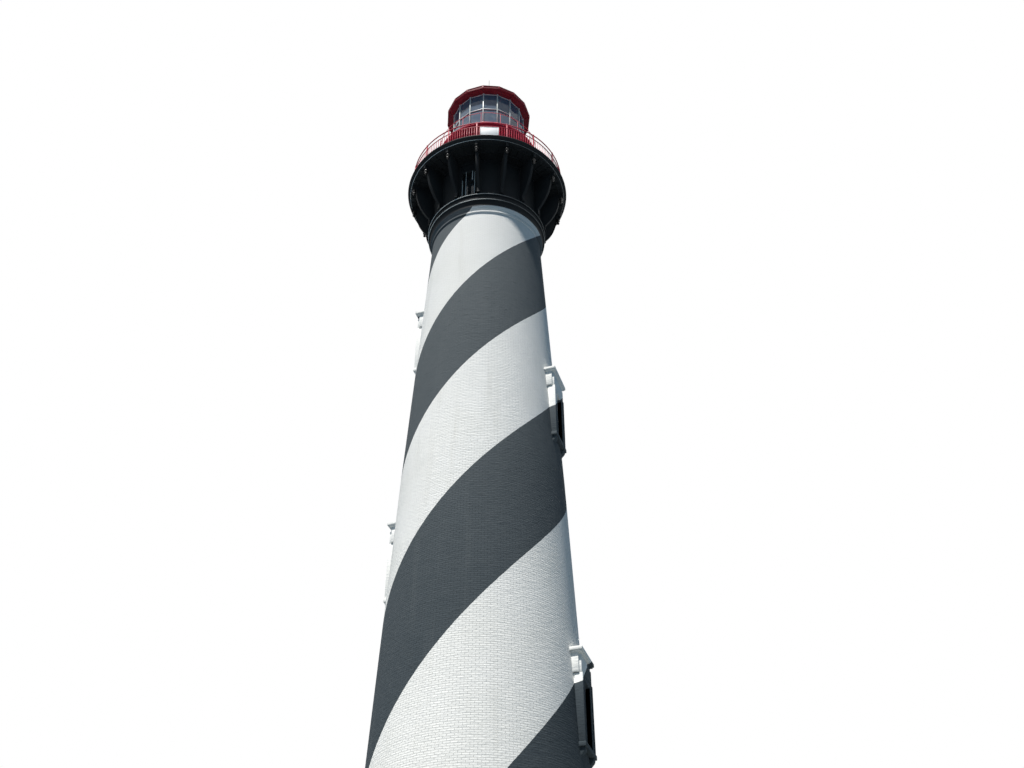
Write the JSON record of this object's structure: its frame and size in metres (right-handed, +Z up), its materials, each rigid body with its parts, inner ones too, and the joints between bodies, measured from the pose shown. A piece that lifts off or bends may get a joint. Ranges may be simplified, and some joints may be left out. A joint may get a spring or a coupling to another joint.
{
  "type": "lighthouse, scale model at 1:2",
  "caption": "Half-size round masonry lighthouse with spiral painted bands, bracketed gallery, railing and a glazed lantern under a low roof.",
  "frame": {"origin": "middle of the plinth's foot, on the ground", "axes": "+Z up the tower, the window faces look along +X and -X, the entrance and the service room window look along -Y"},
  "size_m": [4.3496, 4.7462, 25.3498],
  "materials": {
    "base_stone": "dressed",
    "floor_stone": "worn",
    "painted_brick": "white and charcoal spiral bands painted on brick",
    "black_iron": "gloss black paint",
    "red_iron": "deep red paint",
    "pale_iron": "pale paint",
    "iron_floor": "worn",
    "painted_timber": "painted",
    "glass": "clear",
    "white_board": "plain white paint",
    "rod_metal": "weathered"
  },
  "bodies": {
    "root": {"base_plinth": "base_stone", "entry_steps": "base_stone", "ground_floor": "floor_stone", "service_floor": "floor_stone", "shaft_lift_1_face_segments": "painted_brick", "shaft_lift_1_corner_segments": "painted_brick", "shaft_lift_2_face_segments": "painted_brick", "shaft_lift_2_corner_segments": "painted_brick", "shaft_lift_3_face_segments": "painted_brick", "shaft_lift_3_corner_segments": "painted_brick", "door_surround": "painted_brick", "window_hoods": "painted_brick", "window_surrounds": "painted_brick", "window_sills": "painted_brick", "cornice": "black_iron", "service_wall_face_segments": "black_iron", "service_wall_corner_segments": "black_iron", "service_window_frame": "black_iron", "gallery_brackets": "black_iron", "bracket_drops": "black_iron", "gallery_deck": "black_iron", "railing_posts": "red_iron", "railing_panels": "red_iron", "railing_top_rails": "red_iron", "watch_wall_face_segments": "red_iron", "watch_wall_corner_segments": "red_iron", "lantern_deck": "red_iron", "lantern_rail_posts": "red_iron", "lantern_rails": "red_iron", "lantern_parapet": "red_iron", "lantern_sill": "red_iron", "roof_soffit": "red_iron", "roof_gutter": "red_iron", "roof": "red_iron", "vent_ball": "red_iron", "lantern_mullions": "pale_iron", "lantern_bars": "pale_iron", "watch_floor": "iron_floor", "door_leaf": "painted_timber", "gallery_door": "painted_timber", "window_sashes": "painted_timber", "window_glass": "glass", "service_window_glass": "glass", "lantern_glass": "glass", "plain_board": "white_board", "lightning_rod": "rod_metal"}
  },
  "joints": []
}
